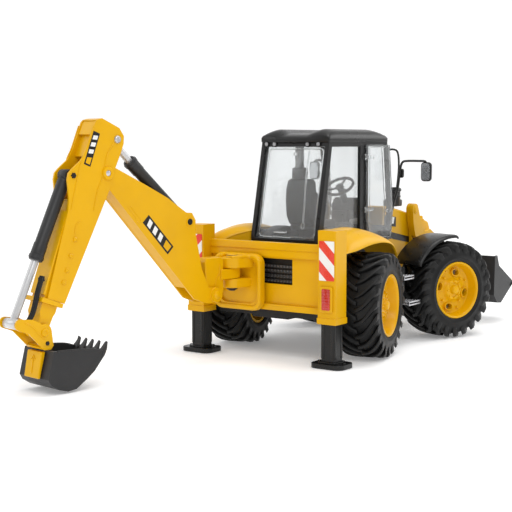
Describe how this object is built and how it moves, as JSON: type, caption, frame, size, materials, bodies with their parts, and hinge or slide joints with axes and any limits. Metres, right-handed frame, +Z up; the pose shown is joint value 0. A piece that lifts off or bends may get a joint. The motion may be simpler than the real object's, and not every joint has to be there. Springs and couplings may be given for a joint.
{
  "type": "toy backhoe loader",
  "caption": "Toy backhoe loader with steering wheels, opening doors, sliding stabilisers, lifting front bucket and a swinging, telescopic digging arm.",
  "frame": {"origin": "bottom centre of the bounding box, on the ground", "axes": "+X forward towards the loader bucket, +Y to the vehicle left, +Z up"},
  "size_m": [0.6088, 0.2142, 0.2142],
  "materials": {
    "yellow_plastic": "satin moulded plastic",
    "black_plastic": "satin moulded plastic",
    "grey_plastic": "satin moulded plastic",
    "silver_plastic": "silver plastic",
    "tyre_rubber": "matte soft plastic",
    "clear_plastic": "clear",
    "red_lens": "clear red"
  },
  "bodies": {
    "chassis": {"chassis": "black_plastic", "front_axle": "black_plastic", "rear_axle": "black_plastic", "rear_frame": "yellow_plastic", "rear_step": "black_plastic", "tail_lamp_right": "red_lens", "tail_lamp_left": "red_lens", "fender_right": "yellow_plastic", "fender_left": "yellow_plastic", "tank_right": "black_plastic", "tank_left": "black_plastic", "mirror_right": "black_plastic", "mirror_left": "black_plastic", "cab_frame": "black_plastic", "cab_roof": "black_plastic", "cab_windows": "clear_plastic", "windscreen": "clear_plastic", "seat": "black_plastic", "steering_column": "black_plastic", "hood": "yellow_plastic", "grille": "black_plastic", "air_cleaner": "black_plastic", "loader_frame": "yellow_plastic"},
    "steer_front_right": {"knuckle_front_right": "grey_plastic", "mudguard_right": "black_plastic"},
    "wheel_front_right": {"rim_front_right": "yellow_plastic", "tyre_front_right": "tyre_rubber"},
    "steer_front_left": {"knuckle_front_left": "grey_plastic", "mudguard_left": "black_plastic"},
    "wheel_front_left": {"rim_front_left": "yellow_plastic", "tyre_front_left": "tyre_rubber"},
    "steer_rear_right": {"knuckle_rear_right": "grey_plastic"},
    "wheel_rear_right": {"rim_rear_right": "yellow_plastic", "tyre_rear_right": "tyre_rubber"},
    "steer_rear_left": {"knuckle_rear_left": "grey_plastic"},
    "wheel_rear_left": {"rim_rear_left": "yellow_plastic", "tyre_rear_left": "tyre_rubber"},
    "steering_wheel": {"steering_wheel": "black_plastic"},
    "door_right": {"door_right": "clear_plastic"},
    "stabiliser_right": {"stabiliser_right": "black_plastic"},
    "door_left": {"door_left": "clear_plastic"},
    "stabiliser_left": {"stabiliser_left": "black_plastic"},
    "carriage": {"carriage": "yellow_plastic", "swing_pin": "grey_plastic"},
    "swing_post": {"kingpost": "yellow_plastic"},
    "boom": {"boom": "yellow_plastic"},
    "dipper": {"dipper": "yellow_plastic"},
    "dipper_extension": {"dipper_extension": "yellow_plastic"},
    "bucket": {"hitch_lever": "yellow_plastic", "backhoe_bucket": "grey_plastic", "bucket_bracket": "yellow_plastic"},
    "dipper_cylinder_barrel": {"dipper_cylinder_barrel": "grey_plastic"},
    "dipper_cylinder_rod": {"dipper_cylinder_rod": "silver_plastic"},
    "bucket_cylinder_barrel": {"bucket_cylinder_barrel": "grey_plastic"},
    "bucket_cylinder_rod": {"bucket_cylinder_rod": "silver_plastic"},
    "loader_arms": {"loader_arms": "yellow_plastic"},
    "loader_bucket": {"loader_bucket": "grey_plastic"}
  },
  "joints": [
    {"name": "steer_front_right", "type": "hinge", "parent": "chassis", "child": "steer_front_right", "pos_m": [0.1549, -0.0731, 0.048], "axis": [0, 0, 1], "range_deg": [-2.3, 41.7]},
    {"name": "spin_front_right", "type": "hinge", "parent": "steer_front_right", "child": "wheel_front_right", "pos_m": [0.1549, -0.0731, 0.048], "axis": [0.3371, 0.9415, 0], "continuous": true},
    {"name": "steer_front_left", "type": "hinge", "parent": "chassis", "child": "steer_front_left", "pos_m": [0.1549, 0.0731, 0.048], "axis": [0, 0, 1], "range_deg": [-2.3, 41.7]},
    {"name": "spin_front_left", "type": "hinge", "parent": "steer_front_left", "child": "wheel_front_left", "pos_m": [0.1549, 0.0731, 0.048], "axis": [0.3371, 0.9415, 0], "continuous": true},
    {"name": "steer_rear_right", "type": "hinge", "parent": "chassis", "child": "steer_rear_right", "pos_m": [0.0084, -0.0731, 0.048], "axis": [0, 0, 1], "range_deg": [-28.3, 1.6]},
    {"name": "spin_rear_right", "type": "hinge", "parent": "steer_rear_right", "child": "wheel_rear_right", "pos_m": [0.0084, -0.0731, 0.048], "axis": [-0.2317, 0.9728, 0], "continuous": true},
    {"name": "steer_rear_left", "type": "hinge", "parent": "chassis", "child": "steer_rear_left", "pos_m": [0.0084, 0.0731, 0.048], "axis": [0, 0, 1], "range_deg": [-28.3, 1.6]},
    {"name": "spin_rear_left", "type": "hinge", "parent": "steer_rear_left", "child": "wheel_rear_left", "pos_m": [0.0084, 0.0731, 0.048], "axis": [-0.2317, 0.9728, 0], "continuous": true},
    {"name": "steering_wheel_turn", "type": "hinge", "parent": "chassis", "child": "steering_wheel", "pos_m": [0.0704, 0, 0.152], "axis": [-0.5736, 0, 0.8192], "continuous": true},
    {"name": "door_right_swing", "type": "hinge", "parent": "chassis", "child": "door_right", "pos_m": [0.0584, -0.0432, 0.145], "axis": [0, 0, -1], "range_deg": [0, 70]},
    {"name": "stabiliser_right_slide", "type": "slide", "parent": "chassis", "child": "stabiliser_right", "axis": [0, 0, 1], "range_m": [0, 0.024]},
    {"name": "door_left_swing", "type": "hinge", "parent": "chassis", "child": "door_left", "pos_m": [0.0584, 0.0432, 0.145], "axis": [0, 0, 1], "range_deg": [0, 70]},
    {"name": "stabiliser_left_slide", "type": "slide", "parent": "chassis", "child": "stabiliser_left", "axis": [0, 0, 1], "range_m": [0, 0.024]},
    {"name": "side_shift", "type": "slide", "parent": "chassis", "child": "carriage", "axis": [0, 1, 0], "range_m": [-0.062, 0.007]},
    {"name": "boom_swing", "type": "hinge", "parent": "carriage", "child": "swing_post", "pos_m": [-0.0678, 0.027, 0.078], "axis": [0, 0, 1], "range_deg": [-51, 60]},
    {"name": "boom_lift", "type": "hinge", "parent": "swing_post", "child": "boom", "pos_m": [-0.09546, 0.03138, 0.0608], "axis": [0.1564, 0.9877, 0], "range_deg": [-30, 22]},
    {"name": "dipper_fold", "type": "hinge", "parent": "boom", "child": "dipper", "pos_m": [-0.21349, 0.05007, 0.1704], "axis": [0.1564, 0.9877, 0], "range_deg": [-32, 30]},
    {"name": "dipper_reach", "type": "slide", "parent": "dipper", "child": "dipper_extension", "axis": [-0.3459, 0.0548, -0.9367], "range_m": [0, 0.028]},
    {"name": "bucket_curl", "type": "hinge", "parent": "dipper_extension", "child": "bucket", "pos_m": [-0.2768, 0.0601, 0.0487], "axis": [0.1564, 0.9877, 0], "range_deg": [-15, 40]},
    {"name": "dipper_barrel_swing", "type": "hinge", "parent": "boom", "child": "dipper_cylinder_barrel", "pos_m": [-0.12479, 0.03603, 0.1269], "axis": [0.1564, 0.9877, 0], "range_deg": [-3.6, 3.4]},
    {"name": "dipper_rod_swing", "type": "hinge", "parent": "dipper", "child": "dipper_cylinder_rod", "pos_m": [-0.20321, 0.04845, 0.1974], "axis": [0.1564, 0.9877, 0], "range_deg": [-27.8, 29.6]},
    {"name": "bucket_barrel_swing", "type": "hinge", "parent": "dipper", "child": "bucket_cylinder_barrel", "pos_m": [-0.24657, 0.05532, 0.1692], "axis": [0.1564, 0.9877, 0], "range_deg": [-2.4, 1]},
    {"name": "bucket_rod_swing", "type": "hinge", "parent": "bucket", "child": "bucket_cylinder_rod", "pos_m": [-0.29813, 0.06348, 0.0566], "axis": [0.1564, 0.9877, 0], "range_deg": [-39.7, 14.9]},
    {"name": "loader_lift", "type": "hinge", "parent": "chassis", "child": "loader_arms", "pos_m": [0.1624, 0, 0.126], "axis": [0, -1, 0], "range_deg": [-9, 42]},
    {"name": "loader_tip", "type": "hinge", "parent": "loader_arms", "child": "loader_bucket", "pos_m": [0.2444, 0, 0.038], "axis": [0, -1, 0], "range_deg": [-60, 12]}
  ],
  "couplings": [
    {"joint": "steer_front_left", "follows": "steer_front_right", "ratio": 1},
    {"joint": "steer_rear_right", "follows": "steer_front_right", "ratio": -0.677},
    {"joint": "steer_rear_left", "follows": "steer_front_right", "ratio": -0.677},
    {"joint": "dipper_barrel_swing", "follows": "dipper_fold", "ratio": 0.11},
    {"joint": "dipper_rod_swing", "follows": "dipper_fold", "ratio": -0.921},
    {"joint": "bucket_barrel_swing", "follows": "bucket_curl", "ratio": -0.057},
    {"joint": "bucket_rod_swing", "follows": "bucket_curl", "ratio": -0.989}
  ]
}
